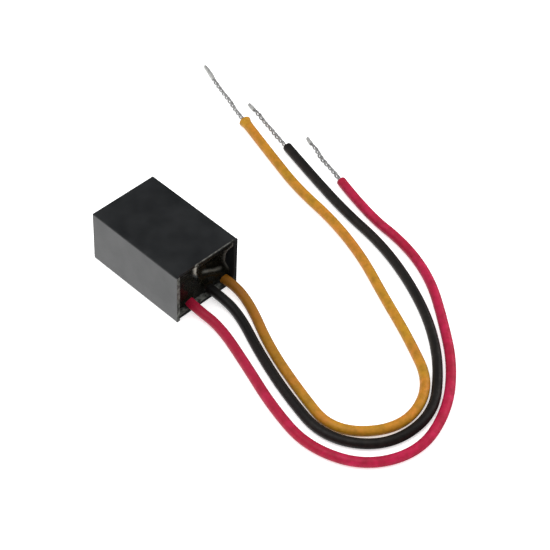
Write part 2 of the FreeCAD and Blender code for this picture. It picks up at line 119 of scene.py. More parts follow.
def moulded_abs():
    """Black ABS off a spark-eroded mould: even satin, a fine grain and faint flow clouds, with
    a painted highlight in pale patches on its rims and on the floor inside the mouth."""
    material = new_material("black_moulded_abs")
    place = add_node(material, "ShaderNodeTexCoord", {}, {}).outputs["Object"]
    # The real grain is near 0.05 mm; it is drawn coarser, at 0.3 mm, so that it shows.
    flow, highlight_noise, grain = (
        add_node(material, "ShaderNodeTexNoise",
                 {"Scale": 1 / (size * MM), "Detail": detail, "Roughness": rough},
                 {"Vector": place}).outputs["Fac"]
        for size, detail, rough in ((7, 4, 0.55), (1.1, 5, 0.65), (0.3, 3, 0.6)))
    clouds = add_node(material, "ShaderNodeMapRange", {"From Min": 0.3, "From Max": 0.7},
                      {"Value": flow})
    skin = add_node(material, "ShaderNodeMix",
                    {"data_type": "RGBA", 6: linear("#111315"), 7: linear("#1a1c1e")},
                    {0: clouds.outputs["Result"]})
    # The pale colour mixed in here is a painted highlight, in patches, on the faces that the mesh
    # marks.
    highlight_patches = add_node(material, "ShaderNodeMapRange", {"From Min": 0.38, "From Max": 0.62},
                    {"Value": highlight_noise})
    pale_highlight = add_node(material, "ShaderNodeMix",
                      {"data_type": "RGBA", 6: linear("#2a2c29"), 7: linear("#7d7f79")},
                      {0: highlight_patches.outputs["Result"]})
    rim_painted_light = add_node(material, "ShaderNodeAttribute", {"attribute_name": "rim_painted_light"}, {})
    colour = add_node(material, "ShaderNodeMix", {"data_type": "RGBA"},
                      {0: rim_painted_light.outputs["Fac"], 6: skin.outputs[2], 7: pale_highlight.outputs[2]})
    gloss = add_node(material, "ShaderNodeMapRange",
                     {"From Min": 0.3, "From Max": 0.7, "To Min": 0.34, "To Max": 0.46},
                     {"Value": flow})
    return surface(material, colour.outputs[2], gloss.outputs["Result"], grain, 0.006,
                   {"IOR": 1.52})


def box_mesh():
    """A block whose front is pushed in for the cavity and pulled out for the proud sides."""
    low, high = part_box("case_shell")
    inner_x = high.x - SIDE_WALL
    inner_z = high.z - SIDE_WALL
    lid_edge = low.y + RIM_STEP
    form = bmesh.new()
    bmesh.ops.create_cube(form, size=1)
    bmesh.ops.scale(form, vec=(high.x - low.x, high.y - lid_edge, high.z - low.z), verts=form.verts)
    bmesh.ops.translate(form, vec=(0, RIM_STEP / 2, high.z / 2), verts=form.verts)
    for place, normal in (
        ((inner_x, 0, 0), (1, 0, 0)),
        ((-inner_x, 0, 0), (1, 0, 0)),
        ((STREAK_EDGE, 0, 0), (1, 0, 0)),
        ((STREAK_EDGE + STREAK_WIDTH, 0, 0), (1, 0, 0)),
        ((0, 0, SIDE_WALL), (0, 0, 1)),
        ((0, 0, inner_z), (0, 0, 1)),
        ((0, 0, high.z - LID_HIGHLIGHT_BAND), (0, 0, 1)),
    ):
        everything = form.verts[:] + form.edges[:] + form.faces[:]
        bmesh.ops.bisect_plane(form, geom=everything, plane_co=place, plane_no=normal)

    form.normal_update()
    front = [face for face in form.faces if face.normal.y < -0.9]
    middles = {face: face.calc_center_median() for face in front}
    mouth = [f for f in front if abs(middles[f].x) < inner_x and SIDE_WALL < middles[f].z < inner_z]
    sides = [f for f in front if abs(middles[f].x) > inner_x]
    depth = high.y - lid_edge - END_WALL
    for faces, distance in ((mouth, depth), (sides, -RIM_STEP)):
        grown = bmesh.ops.extrude_face_region(form, geom=faces)["geom"]
        moved = [part for part in grown if isinstance(part, bmesh.types.BMVert)]
        bmesh.ops.translate(form, vec=(0, distance, 0), verts=moved)
        left = [face for face in faces if face.is_valid]
        bmesh.ops.delete(form, geom=left, context="FACES")
    painted_light_end = lid_edge + PAINTED_LIGHT_DEPTH
    everything = form.verts[:] + form.edges[:] + form.faces[:]
    bmesh.ops.bisect_plane(form, geom=everything, plane_co=(0, painted_light_end, 0), plane_no=(0, 1, 0))

    for width, segments in ((OUTER_ROUND, 4), (RIM_ROUND, 2)):
        sharp = []
        for edge in form.edges:
            along = edge.verts[1].co - edge.verts[0].co
            middle = (edge.verts[0].co + edge.verts[1].co) / 2
            outside = abs(abs(middle.x) - high.x) < NEAR
            level = min(abs(middle.z), abs(middle.z - high.z)) < NEAR
            at_back = abs(middle.y - high.y) < NEAR
            outer = (outside and level and abs(along.y) > MM) or (at_back and (outside or level))
            if edge.calc_face_angle(0) > SHARP_TURN and (outer or width == RIM_ROUND):
                sharp.append(edge)
        bmesh.ops.bevel(form, geom=sharp, offset=width, segments=segments, profile=0.5,
                        affect="EDGES", material=-1, clamp_overlap=True)
    bmesh.ops.recalc_face_normals(form, faces=form.faces)

    # Faces of the rims and of the floor inside the mouth are marked for the painted highlight, and
    # the share tells how strongly.
    rim_painted_light = form.faces.layers.float.new("rim_painted_light")
    for face in form.faces:
        middle = face.calc_center_median()
        if middle.y > painted_light_end:
            continue
        if face.normal.y < -0.5:
            near_wall = middle.x < -inner_x
            streak_highlight = middle.z > inner_z and 0 < middle.x - STREAK_EDGE < STREAK_WIDTH
            lid_corner = middle.z > high.z - LID_HIGHLIGHT_BAND and STREAK_EDGE < middle.x < inner_x
            if near_wall:
                face[rim_painted_light] = NEAR_RIM_HIGHLIGHT
            elif lid_corner or streak_highlight:
                face[rim_painted_light] = LID_RIM_HIGHLIGHT
        elif face.normal.z > 0.5 and middle.z < 2 * SIDE_WALL:
            face[rim_painted_light] = FLOOR_PAINTED_LIGHT
    mesh = bpy.data.meshes.new("box")
    form.to_mesh(mesh)
    form.free()
    return mesh


make_piece("box", box_mesh(), moulded_abs(), "case_plastic", "case_shell")


# ---------------------------------------------------------------- the circuit board
# A single-sided board of woven glass and epoxy lies over the floor of the box.  Its copper is
# etched into broad tracks, and tin solder holds the parts' legs and the leads' cores to it.
def finish(material, *nodes):
    """A CAD part keeps its shape and takes a material."""
    for node in nodes:
        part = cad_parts[node]
        part.data.materials.clear()
        part.data.materials.append(material)


def mottled(name, colours, millimetres, gloss, relief, settings):
    """A material whose colour, gloss and height wander together over blobs of one size."""
    material = new_material(name)
    place = add_node(material, "ShaderNodeTexCoord", {}, {})
    blobs = add_node(material, "ShaderNodeTexNoise",
                     {"Scale": 1 / (millimetres * MM), "Detail": 4, "Roughness": 0.6},
                     {"Vector": place.outputs["Object"]}).outputs["Fac"]
    share = add_node(material, "ShaderNodeMapRange", {"From Min": 0.3, "From Max": 0.7},
                     {"Value": blobs})
    colour = add_node(material, "ShaderNodeMix",
                      {"data_type": "RGBA", 6: linear(colours[0]), 7: linear(colours[1])},
                      {0: share.outputs["Result"]})
    rough = add_node(material, "ShaderNodeMapRange",
                     {"From Min": 0.3, "From Max": 0.7, "To Min": gloss[0], "To Max": gloss[1]},
                     {"Value": blobs})
    return surface(material, colour.outputs[2], rough.outputs["Result"], blobs, relief, settings)


def glass_laminate():
    """Green glass-epoxy board: the weave of 7628 cloth shows as small squares under the resin."""
    material = new_material("green_glass_epoxy_board")
    place = add_node(material, "ShaderNodeTexCoord", {}, {}).outputs["Object"]
    yarn = 0.55 * MM
    warp, weft = (
        add_node(material, "ShaderNodeTexWave",
                 {"wave_type": "BANDS", "bands_direction": direction,
                  "Scale": math.pi / (10 * yarn)},
                 {"Vector": place}).outputs["Fac"]
        for direction in ("X", "Y"))
    cloth = add_node(material, "ShaderNodeMath", {"operation": "MULTIPLY"},
                     {0: warp, 1: weft}).outputs[0]
    cloudy = add_node(material, "ShaderNodeTexNoise", {"Scale": 1 / (4 * MM), "Detail": 3},
                      {"Vector": place})
    stain = add_node(material, "ShaderNodeMix",
                     {"data_type": "RGBA", 6: linear("#24512f"), 7: linear("#35683d")},
                     {0: cloudy.outputs["Fac"]})
    colour = add_node(material, "ShaderNodeMix", {"data_type": "RGBA", 7: linear("#3f7a49")},
                      {0: cloth, 6: stain.outputs[2]})
    gloss = add_node(material, "ShaderNodeMapRange", {"To Min": 0.32, "To Max": 0.4},
                     {"Value": warp})
    return surface(material, colour.outputs[2], gloss.outputs["Result"], cloth, 0.008,
                   {"IOR": 1.55})


METAL = {"Metallic": 1.0}
# Rolled copper foil after etching and fluxing: pink where clean, browner where it oxidised.
foil = mottled("etched_copper_foil", ("#b4694a", "#8a4d33"), 1.6, (0.25, 0.5), 0.004, METAL)
# Lead-free solder: a skin that froze with dull grains and small dimples, and clouded with flux,
# so only half of what it shows is metal.
solder = mottled("tin_solder", ("#9c9c9a", "#c2c2c0"), 0.9, (0.55, 0.4), 0.03, {"Metallic": 0.5})
finish(glass_laminate(), "circuit_board")
finish(foil, "copper_tracks")
finish(solder, "component_solder_joints", "red_lead_solder_joint", "black_lead_solder_joint",
       "yellow_lead_solder_joint")


# ---------------------------------------------------------------- the varistors
# Three zinc oxide discs stand across the board, one for each pair of poles.  Each disc is
# sintered, has a silver face printed and fired on both sides, two wire legs soldered to
# those, and a coat of blue epoxy powder melted over it.

# Sintered zinc oxide: dull grey-beige ceramic with specks where grains meet.
oxide = mottled("sintered_zinc_oxide", ("#8d8a80", "#6f6d66"), 0.12, (0.7, 0.85), 0.01, {"IOR": 1.9})
# Screen-printed silver, fired on: matt, with the mesh of the screen and a faint yellow.
silver = mottled("fired_silver_paste", ("#c9c6bc", "#b3aea1"), 0.25, (0.42, 0.6), 0.008, METAL)
# Round steel wire with a copper coat and a tin plate: bright, drawn and a little scratched.
wire = mottled("tinned_wire", ("#a9abae", "#c8cacc"), 0.35, (0.2, 0.38), 0.005, METAL)
# Fluidised-bed epoxy: sky blue, half glossy, with the orange peel of melted powder.
coating = mottled("blue_dipped_epoxy", ("#2a5f9c", "#3a74b2"), 0.8, (0.28, 0.4), 0.05, {"IOR": 1.55})

VARISTORS = ("varistor_1", "varistor_2", "varistor_3")
finish(oxide, *(f"{name}_disc" for name in VARISTORS))
finish(silver, *(f"{name}_electrodes" for name in VARISTORS))
finish(wire, *(f"{name}_legs" for name in VARISTORS))
finish(coating, *(f"{name}_coating" for name in VARISTORS))


# ---------------------------------------------------------------- the thermal fuses
# Two one-shot fuses lie beside the varistors.  Each is a drawn metal can that is closed with a
# bead of epoxy round its one insulated leg, and is wrapped in a heat-shrink sleeve.

# Nickel-plated brass, deep drawn: satin, with faint draw lines and a warm grey colour.
can = mottled("nickel_plated_can", ("#a8a296", "#bdb7aa"), 0.5, (0.25, 0.4), 0.006, METAL)
# Amber epoxy bead: glossy, drawn up the leg by its own surface tension.
bead = mottled("amber_seal_epoxy", ("#5e3412", "#83501f"), 0.9, (0.15, 0.25), 0.01, {"IOR": 1.53})
# Heat-shrunk polyolefin: black, waxy, with soft wrinkles where it gripped the can.
sleeve = mottled("black_heat_shrink", ("#141414", "#1f1f20"), 1.3, (0.42, 0.55), 0.06, {"IOR": 1.5})

FUSES = ("thermal_fuse_1", "thermal_fuse_2")
finish(can, *(f"{name}_can" for name in FUSES))
finish(bead, *(f"{name}_epoxy_seal" for name in FUSES))
finish(wire, *(f"{name}_legs" for name in FUSES))
finish(sleeve, *(f"{name}_sleeve" for name in FUSES))


# ---------------------------------------------------------------- the leads
# Three flexible leads, one to each pole, come out of the resin low over the box's floor.
# Each is tinned copper strand in an extruded PVC jacket, stripped at the far end, twisted by
# hand and dipped in solder, so that a terminal can hold it.
JACKET = 2.8 * MM
JACKET_WALL = 0.78 * MM
STRAND = 0.2 * MM
STRANDS = 15
INNER_STRANDS = 4
INNER_RING = 0.18 * MM
OUTER_RING = 0.445 * MM
BUNCH_STRANDS = 5
BUNCH_RING = 0.17 * MM
TWIST_RADIUS = 0.46 * MM
TAIL_PITCH = 5.8 * MM
JACKET_PITCH = 24 * MM
BUNCH_TWIST = 1.6
FREED_OVER = 1.6 * MM
GATHERED = 0.7
GATHERED_OVER = 1.5 * MM
CORE_INTO_BOARD = 4.2 * MM
STEP = 0.3 * MM
SLOW_KINK = 2.6 * MM
QUICK_KINK = 1.15 * MM
UPWARD_KINK = 1.9 * MM
KINKED_OVER = 4 * MM
LEAVES_OVER = 1.5 * MM
FLARE_LENGTH = 0.8 * MM
CUT_ROUND = 0.07 * MM
TIP_RADIUS = 0.52 * MM
TIP_SWELL = 0.18 * MM
TIP_SWELLS_OVER = 2.5 * MM
TIP_TAPER = 0.05 * MM
# Each step of a tip's nose: its reach in millimetres, and its share of the tip's radius.
NOSE = ((0.12, 0.88), (0.22, 0.66), (0.28, 0.36))
STRAND_SIDES = 6
TIP_SIDES = 18
EXIT_HEIGHT = 2.7
REST_HEIGHT = 1.42
# The routes are in millimetres.  Each lead's colours are those of its darker root end, its
# smudges, its plain jacket and its brighter patches.
LEADS = {
    "red": {
        "route": [
            (-4.7, -11.5, EXIT_HEIGHT),
            (-5.5, -18.0, EXIT_HEIGHT),
            (-4.5, -26.5, REST_HEIGHT),
            (-9.0, -41.0, REST_HEIGHT),
            (-14.0, -55.5, REST_HEIGHT),
            (-17.0, -71.0, REST_HEIGHT),
            (-11.0, -85.5, REST_HEIGHT),
            (3.0, -92.0, REST_HEIGHT),
            (18.5, -87.5, REST_HEIGHT),
            (31.0, -78.0, REST_HEIGHT),
            (40.5, -66.5, REST_HEIGHT),
            (50.0, -53.5, REST_HEIGHT),
            (55.0, -39.5, REST_HEIGHT),
            (56.0, -24.0, REST_HEIGHT),
            (60.5, -9.5, REST_HEIGHT),
        ],
        "exit": (-5.1, -14.4, EXIT_HEIGHT),
        "length": 0.199,
        "bare": 20.6 * MM,
        "dipped": 2.8 * MM,
        "lean": 0.2 * MM,
        "leaves": -0.3 * MM,
        "kink": 0.3 * MM,
        "phase": 0.4,
        "flare": 0.02,
        "colours": ("#8a0c2a", "#840826", "#a00a30", "#ae1542"),
    },
    "black": {
        "route": [
            (2.1, -11.5, EXIT_HEIGHT),
            (2.5, -18.0, EXIT_HEIGHT),
            (2.5, -26.5, REST_HEIGHT),
            (-3.5, -40.5, REST_HEIGHT),
            (-8.5, -55.5, REST_HEIGHT),
            (-12.0, -72.0, REST_HEIGHT),
            (-2.5, -85.0, REST_HEIGHT),
            (14.0, -86.5, REST_HEIGHT),
            (27.5, -76.5, REST_HEIGHT),
            (37.5, -64.5, REST_HEIGHT),
            (45.0, -50.0, REST_HEIGHT),
            (50.0, -35.0, REST_HEIGHT),
            (52.0, -19.5, REST_HEIGHT),
            (55.5, -4.0, REST_HEIGHT),
            (59.5, 11.5, REST_HEIGHT),
        ],
        "exit": (2.3, -14.4, EXIT_HEIGHT),
        "length": 0.205,
        "bare": 21.7 * MM,
        "dipped": 3.2 * MM,
        "lean": 0.0,
        "leaves": -0.35 * MM,
        "kink": 0.12 * MM,
        "phase": 2.1,
        "flare": 0.0,
        "colours": ("#090807", "#0b0b0b", "#171211", "#1f1b18"),
    },
    "yellow": {
        "route": [
            (7.3, -11.5, EXIT_HEIGHT),
            (8.3, -18.0, EXIT_HEIGHT),
            (7.0, -26.5, REST_HEIGHT),
            (0.0, -40.5, REST_HEIGHT),
            (-5.0, -56.0, REST_HEIGHT),
            (-9.0, -72.5, REST_HEIGHT),
            (5.0, -84.0, REST_HEIGHT),
            (21.0, -79.5, REST_HEIGHT),
            (29.5, -63.5, REST_HEIGHT),
            (35.5, -49.5, REST_HEIGHT),
            (42.5, -34.5, REST_HEIGHT),
            (47.0, -19.0, REST_HEIGHT),
            (49.0, -3.0, REST_HEIGHT),
            (53.5, 12.5, REST_HEIGHT),
            (58.2, 28.0, REST_HEIGHT),
        ],
        "exit": (7.7, -14.4, EXIT_HEIGHT),
        "length": 0.209,
        "bare": 28.0 * MM,
        "dipped": 7.0 * MM,
        "lean": 0.9 * MM,
        "leaves": -0.15 * MM,
        "kink": 0.1 * MM,
        "phase": 4.0,
        "flare": 0.32,
        "colours": ("#744708", "#8a5f0a", "#ad7e14", "#b87322"),
    },
}


def extruded_pvc(colour, root, deep, plain, bright):
    """Satin PVC: its colour wanders along the lead, darkens smoothly towards its root at the box,
    and shows smudges and specks from handling."""
    material = new_material(f"{colour}_extruded_pvc")
    place = add_node(material, "ShaderNodeTexCoord", {}, {}).outputs["Object"]
    patches, smudges, specks = (
        add_node(material, "ShaderNodeTexNoise",
                 {"Scale": 1 / (size * MM), "Detail": detail, "Roughness": rough},
                 {"Vector": place}).outputs["Fac"]
        for size, detail, rough in ((8, 3, 0.5), (2, 5, 0.65), (0.4, 3, 0.6)))
    patchy = add_node(material, "ShaderNodeMapRange", {"From Min": 0.34, "From Max": 0.66},
                      {"Value": patches})
    body = add_node(material, "ShaderNodeMix",
                    {"data_type": "RGBA", 6: linear(plain), 7: linear(bright)},
                    {0: patchy.outputs["Result"]})
    dirty = add_node(material, "ShaderNodeMapRange",
                     {"From Min": 0.3, "From Max": 0.6, "To Min": 0.8, "To Max": 0.0},
                     {"Value": smudges})
    handled = add_node(material, "ShaderNodeMix", {"data_type": "RGBA", 7: linear(deep)},
                       {0: dirty.outputs["Result"], 6: body.outputs[2]})
    # The jacket is mixed towards the root colour over the first part of its run from the box.
    run = add_node(material, "ShaderNodeAttribute", {"attribute_name": "run"}, {})
    root_darkening = add_node(material, "ShaderNodeMapRange",
                       {"From Max": 0.4, "To Min": 0.9, "To Max": 0.0,
                        "interpolation_type": "SMOOTHSTEP"},
                       {"Value": run.outputs["Fac"]})
    whole = add_node(material, "ShaderNodeMix", {"data_type": "RGBA", 7: linear(root)},
                     {0: root_darkening.outputs["Result"], 6: handled.outputs[2]})
    gloss = add_node(material, "ShaderNodeMapRange",
                     {"From Min": 0.3, "From Max": 0.7, "To Min": 0.56, "To Max": 0.42},
                     {"Value": smudges})
    return surface(material, whole.outputs[2], gloss.outputs["Result"], specks, 0.02,
                   {"IOR": 1.5, "Specular IOR Level": 0.22})


def mesh_of(curve):
    """The mesh that a curve makes, with the curve itself put away."""
    holder = bpy.data.objects.new(curve.name, curve)
    mesh = bpy.data.meshes.new_from_object(holder)
    bpy.data.objects.remove(holder)
    bpy.data.curves.remove(curve)
    return mesh


def round_runs(name, lines, sides):
    """Round rods along lines of (point, radius), as one mesh."""
    curve = bpy.data.curves.new(name, "CURVE")
    curve.dimensions = "3D"
    curve.bevel_depth = 1
    curve.bevel_resolution = sides // 2 - 1
    curve.use_fill_caps = True
    for line in lines:
        spline = curve.splines.new("POLY")
        spline.points.add(len(line) - 1)
        for spot, (point, radius) in zip(spline.points, line):
            spot.co = (*point, 1)
            spot.radius = radius
    mesh = mesh_of(curve)
    form = bmesh.new()
    form.from_mesh(mesh)
    bmesh.ops.remove_doubles(form, verts=form.verts, dist=NEAR / 10)
    bmesh.ops.recalc_face_normals(form, faces=form.faces)
    form.to_mesh(mesh)
    form.free()
    mesh.shade_smooth()
    return mesh


def lead_curve(colour, radius):
    """The route as one smooth open curve through its loose bends."""
    curve = bpy.data.curves.new(f"{colour}_route", "CURVE")
    curve.dimensions = "3D"
    curve.resolution_u = 26
    curve.bevel_depth = radius
    curve.bevel_resolution = 14
    spline = curve.splines.new("NURBS")
    route = LEADS[colour]["route"]
    spline.points.add(len(route) - 1)
    for spot, point in zip(spline.points, route):
        spot.co = (*(Vector(point) * MM), 1)
    spline.order_u = 3
    spline.use_endpoint_u = True
    return curve


def centreline(colour):
    """Points close together along the middle of a lead's jacket."""
    mesh = mesh_of(lead_curve(colour, 0))
    line = [vert.co.copy() for vert in mesh.vertices]
    bpy.data.meshes.remove(mesh)
    return line


def bare_tail(colour, line):
    """The middle of the bare strands past the jacket: straight, but kinked and leaning by hand."""
    lead = LEADS[colour]
    forwards = (line[-1] - line[-2]).normalized()
    sideways = Vector((forwards.y, -forwards.x, 0))
    steps = round(lead["bare"] / STEP)
    tail = []
    for number in range(1, steps + 1):
        reach = lead["bare"] * number / steps
        share = reach / lead["bare"]
        settle = min(1.0, reach / KINKED_OVER)
        slow = math.sin(reach / SLOW_KINK + lead["phase"])
        quick = math.sin(reach / QUICK_KINK + 3 * lead["phase"])
        across = lead["leaves"] * min(1.0, reach / LEAVES_OVER) + lead["lean"] * share ** 2
        across += lead["kink"] * settle * (0.7 * slow + 0.3 * quick)
        upward = lead["kink"] * settle * 0.6 * math.sin(reach / UPWARD_KINK + 2 * lead["phase"])
        tail.append(line[-1] + forwards * reach + sideways * across + Vector((0, 0, upward)))
    return tail


def jacket_mesh(colour, line):
    """An open tube along the route, its cut end a little flared where the stripper gripped it."""
    mesh = mesh_of(lead_curve(colour, JACKET / 2))
    form = bmesh.new()
    form.from_mesh(mesh)
    run = form.verts.layers.float.new("run")
    ring = len(form.verts) // len(line)
    end = line[-1]
    forwards = (line[-1] - line[-2]).normalized()
    for number, vert in enumerate(form.verts):
        vert[run] = number // ring / (len(line) - 1)
        if (vert.co - end).length < 2 * JACKET:
            behind = (end - vert.co).dot(forwards)
            middle = end - forwards * behind
            swell = LEADS[colour]["flare"] * math.exp(-max(behind, 0) / FLARE_LENGTH)
            vert.co = middle + (vert.co - middle) * (1 + swell)
            vert.co.z = max(vert.co.z, NEAR)
    form.to_mesh(mesh)
    form.free()
    mesh.shade_smooth()
    return mesh


def strands_mesh(colour, line, tail):
    """Fine strands: laid in two rings inside the jacket, and past it in three loose bunches, which
    the fingers twisted round each other."""
    lead = LEADS[colour]
    backwards = (line[0] - line[1]).normalized()
    inside = [line[0] + backwards * CORE_INTO_BOARD * share for share in (1.0, 0.67, 0.33)]
    # Under the jacket every third point of its middle line is enough.
    middle_line = inside + line[::3] + tail
    first_bare = len(middle_line) - len(tail)
    strands = [[] for _ in range(STRANDS)]
    turn = lead["phase"]
    reach = 0.0
    for number, point in enumerate(middle_line):
        before = middle_line[max(number - 1, 0)]
        after = middle_line[min(number + 1, len(middle_line) - 1)]
        along = (after - before).normalized()
        across = along.cross(Vector((0, 0, 1))).normalized()
        up = across.cross(along)
        step = (point - before).length
        bare = number >= first_bare
        reach += step if bare else 0
        turn += 2 * math.pi * step / (TAIL_PITCH if bare else JACKET_PITCH)
        freed = min(reach / FREED_OVER, 1.0)
        to_solder = lead["bare"] - reach - lead["dipped"]
        above_solder = min(max(to_solder / GATHERED_OVER, 0.0), 1.0)
        uneven = 0.98 + 0.08 * math.sin(reach / (1.7 * MM) + 2 * lead["phase"])
        loose = uneven * (GATHERED + (1 - GATHERED) * above_solder)
        for place in range(STRANDS):
            outer = place >= INNER_STRANDS
            ring = OUTER_RING if outer else INNER_RING
            ring_share = place / INNER_STRANDS
            if outer:
                ring_share = (place - INNER_STRANDS) / (STRANDS - INNER_STRANDS)
            ring_turn = turn + 2 * math.pi * ring_share
            bunch, seat = divmod(place, BUNCH_STRANDS)
            bunch_turn = turn + 2 * math.pi * bunch * BUNCH_STRANDS / STRANDS
            seat_turn = BUNCH_TWIST * turn + 2 * math.pi * seat / BUNCH_STRANDS
            spot = point.copy()
            for axis, wave in ((across, math.cos), (up, math.sin)):
                twisted = loose * (TWIST_RADIUS * wave(bunch_turn) + BUNCH_RING * wave(seat_turn))
                spot += axis * (freed * twisted + (1 - freed) * ring * wave(ring_turn))
            strands[place].append((spot, STRAND / 2))
    return round_runs(f"{colour}_strands", strands, STRAND_SIDES)


def solder_mesh(colour, tail):
    """Solder over the end of the strands: it follows them, thins to the end and has a nose."""
    dipped = LEADS[colour]["dipped"]
    length = (len(tail) - 1) * STEP
    line = []
    for number, point in enumerate(tail):
        left = length - number * STEP
        if left <= dipped:
            swell = TIP_SWELL * min(left / TIP_SWELLS_OVER, 1)
            thick = TIP_RADIUS + swell - TIP_TAPER * (left / dipped) ** 4
            lumps = 1 + 0.05 * math.sin(left / (0.6 * MM)) + 0.03 * math.sin(left / (0.23 * MM))
            line.append((point, thick * lumps))
    nose = (tail[-1] - tail[-2]).normalized()
    last = line[-1][1]
    for reach, share in NOSE:
        line.append((tail[-1] + nose * reach * MM, last * share))
    return round_runs(f"{colour}_solder", [line], TIP_SIDES)


# Tin over drawn copper: bright in places, with a grey bloom of oxide where it was handled, so a
# part of what it shows isn't metal.
copper = mottled("tinned_copper_strand", ("#7a7876", "#c6c6c6"), 0.6, (0.42, 0.28), 0.01,
                 {"Metallic": 0.8})
for colour, lead in LEADS.items():
    middle_line = centreline(colour)
    tail = bare_tail(colour, middle_line)
    strands = make_piece(f"{colour}_strands", strands_mesh(colour, middle_line, tail), copper,
                         "lead_core", f"{colour}_lead_core")
    tip = make_piece(f"{colour}_dipped_tip", solder_mesh(colour, tail), solder, "solder",
                     f"{colour}_lead_solder_tip")
    jacket = make_piece(f"{colour}_jacket", jacket_mesh(colour, middle_line),
                        extruded_pvc(colour, *lead["colours"]), f"{colour}_pvc",
                        f"{colour}_lead_jacket")
    wall = jacket.modifiers.new("wall", "SOLIDIFY")
    wall.thickness = JACKET_WALL
    wall.offset = -1
    wall.use_even_offset = True
    rounding = jacket.modifiers.new("cut_edges", "BEVEL")
    rounding.width = CUT_ROUND
    rounding.segments = 2
    rounding.limit_method = "ANGLE"
    rounding.angle_limit = math.radians(50)


# ---------------------------------------------------------------- the resin
# Two-part epoxy, poured in from the open end over the finished board until it ran over the rim
# of the lid at the left.  It shrank as it set, crept up the walls and the leads, and sagged
# into a hollow at the right, above a ridge that runs over the roots of the leads.
# These lengths are in millimetres, as the shape of the set face is worked out in them.
RESIN_TOP = 15.75
RESIN_BOTTOM = 1.05
RESIN_SIDE = 10.05
LEAST_DEPTH = 0.62
LID_DEPTH = 0.66
FLOOR_DEEPER = 1.95
EDGE_AT_LID = -4.3
EDGE_LEAN = 0.32
EDGE_WAVE = 0.25
RIDGE_HEIGHT = 9.2
RIDGE_FALL = 0.44
RIDGE_WAVE = 0.3
HOLLOW_DEPTH = 2.3
LIP = 0.35
LIP_WIDTH = 0.7
CREST = 0.3
CREST_WIDTH = 0.9
RIPPLE = 0.05
WALL_CREEP = 0.5
LID_CREEP = 0.2
CREEP_LENGTH = 0.3
ROOTS = ((-5.0, 2.7), (2.3, 2.7), (7.7, 2.7))
ROOT_RADIUS = 1.4
ROOT_CLIMB = 0.75
CLIMB_LENGTH = 0.55
# How strongly the painted highlight is laid on the face where it is strongest: on the lip, on the
# crest and along the far wall.
LIP_HIGHLIGHT = 0.9
CREST_HIGHLIGHT = 0.3
WALL_HIGHLIGHT = 0.45
# How many points the face's grid has along each side.
GRID_ACROSS = 160
GRID_UP = 116


def rise(start, end, value):
    """Zero before the start, one after the end, and a smooth rise between them."""
    share = min(max((value - start) / (end - start), 0), 1)
    return share * share * (3 - 2 * share)


def resin_front(x, z):
    """How far back the set face lies from the ends of the side walls, and how strongly a painted
    highlight lies there along the lip of the hollow, the crest and the far wall."""
    below_lid = RESIN_TOP - z
    slope = LID_DEPTH + FLOOR_DEEPER * below_lid / (RESIN_TOP - RESIN_BOTTOM)
    left_edge = EDGE_AT_LID + EDGE_LEAN * below_lid + EDGE_WAVE * math.sin(1.3 * z)
    ridge = RIDGE_HEIGHT - RIDGE_FALL * (x - 1.3) + RIDGE_WAVE * math.sin(0.8 * x)
    hollow = HOLLOW_DEPTH * rise(0, 3.0, x - left_edge) * rise(-2.4, 1.3, z - ridge)
    hollow *= rise(0, 6.6, below_lid)
    lip = LIP * math.exp(-((x - left_edge) / LIP_WIDTH) ** 2) * rise(9, 12, z)
    crest = CREST * math.exp(-((z - ridge + 1.2) / CREST_WIDTH) ** 2) * rise(0, 2, x)
    wall = math.exp((abs(x) - RESIN_SIDE) / CREEP_LENGTH)
    creep = WALL_CREEP * wall + LID_CREEP * math.exp((z - RESIN_TOP) / CREEP_LENGTH)
    climb = 0.0
    for root_x, root_z in ROOTS:
        away = max(math.hypot(x - root_x, z - root_z) - ROOT_RADIUS, 0)
        climb += ROOT_CLIMB * math.exp(-away / CLIMB_LENGTH)
    ripple = RIPPLE * math.sin(1.9 * x + 0.7 * z) * math.sin(1.1 * z - 0.6 * x)
    lip_width = 0.2 + 0.09 * (z - 11)
    lip_highlight = LIP_HIGHLIGHT * math.exp(-((x - left_edge + 0.1) / lip_width) ** 2) * rise(11.2, 14.5, z)
    crest_highlight = CREST_HIGHLIGHT * math.exp(-((z - ridge + 0.5) / 0.26) ** 2)
    crest_highlight *= rise(0.0, 1.5, x) * rise(-8.8, -6.8, -x)
    # The far wall's share is a painted highlight along the meniscus there.
    wall_highlight = WALL_HIGHLIGHT * wall * rise(4.0, 5.5, z) if x > 0 else 0
    resin_highlight = min(lip_highlight + crest_highlight + wall_highlight, 1)
    return max(slope + hollow - lip - crest - creep - climb + ripple, LEAST_DEPTH), resin_highlight


def resin_mesh():
    """A fine grid bent to the set face, with its rim taken back and closed behind."""
    low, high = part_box("potting_resin")
    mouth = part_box("case_shell")[0].y
    form = bmesh.new()
    bmesh.ops.create_grid(form, x_segments=GRID_ACROSS, y_segments=GRID_UP, size=0.5)
    resin_highlight = form.verts.layers.float.new("resin_highlight")
    for vert in form.verts:
        x = 2 * RESIN_SIDE * vert.co.x
        z = RESIN_BOTTOM + (RESIN_TOP - RESIN_BOTTOM) * (vert.co.y + 0.5)
        back, vert[resin_highlight] = resin_front(x, z)
        vert.co = (x * MM, mouth + back * MM, z * MM)
    rim = [edge for edge in form.edges if edge.is_boundary]
    grown = bmesh.ops.extrude_edge_only(form, edges=rim)["geom"]
    for part in grown:
        if isinstance(part, bmesh.types.BMVert):
            part.co.y = high.y
    loop = [part for part in grown if isinstance(part, bmesh.types.BMEdge) and part.is_boundary]
    bmesh.ops.contextual_create(form, geom=loop)
    bmesh.ops.recalc_face_normals(form, faces=form.faces)
    mesh = bpy.data.meshes.new("resin")
    form.to_mesh(mesh)
    form.free()
    mesh.shade_smooth()
    return mesh


